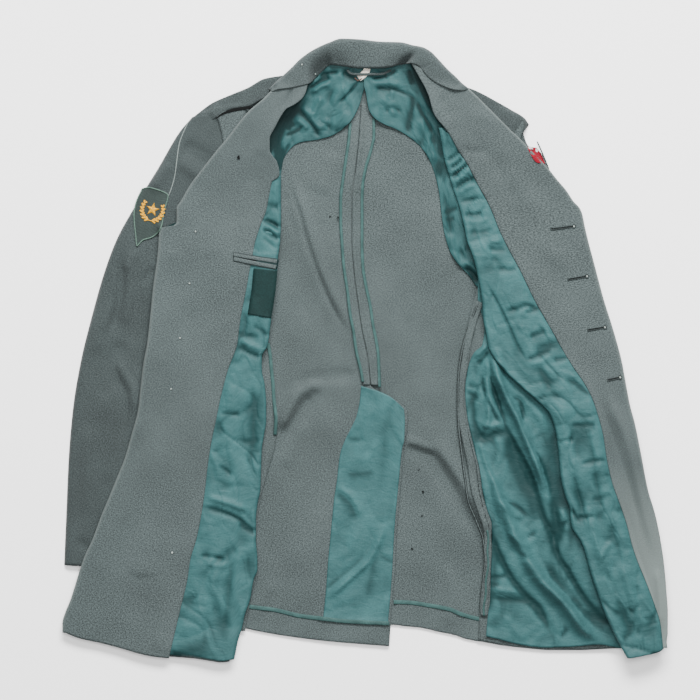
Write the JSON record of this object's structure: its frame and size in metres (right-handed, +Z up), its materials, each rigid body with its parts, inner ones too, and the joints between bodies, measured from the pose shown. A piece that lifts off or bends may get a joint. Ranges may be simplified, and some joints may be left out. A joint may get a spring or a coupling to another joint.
{
  "type": "dress tunic",
  "caption": "Wool dress tunic laid on its back with both fronts open: half lined back with a centre vent, facings and front linings, turned lapels, sleeves under the body.",
  "frame": {"origin": "centre of the base of the bounding box, on the surface that the garment lies on", "axes": "+X towards the wearer's left side, +Y from the hem to the collar, +Z up from the surface"},
  "size_m": [0.8216, 0.8476, 0.0331],
  "materials": {
    "wool": "grey green wool serge, matt",
    "satin": "teal satin lining, soft sheen",
    "binding": "teal binding tape",
    "dark_label": "plain dark woven label",
    "pale_tab": "plain pale woven label",
    "patch_green": null,
    "patch_red": "embroidered red and white patch, plain"
  },
  "bodies": {
    "root": {"back_left": "wool", "back_right": "wool", "care_label": "dark_label", "collar": "wool", "facing_left": "wool", "facing_right": "wool", "front_left": "wool", "front_right": "wool", "hanger_loop": "wool", "hem_tape_left": "binding", "hem_tape_right": "binding", "lining_left": "satin", "lining_right": "satin", "neck_label": "pale_tab", "pocket_welt": "wool", "seam_binding_left": "binding", "seam_binding_right": "binding", "shoulder_strap_left": "wool", "shoulder_strap_right": "wool", "side_binding_right": "binding", "side_lining_left": "satin", "sleeve_left_under": "wool", "sleeve_left_upper": "wool", "sleeve_patch_left": "patch_red", "sleeve_patch_right": "patch_green", "sleeve_right_under": "wool", "sleeve_right_upper": "wool", "vent_facing": "satin", "yoke_lining_left": "satin", "yoke_lining_right": "satin"}
  },
  "joints": []
}
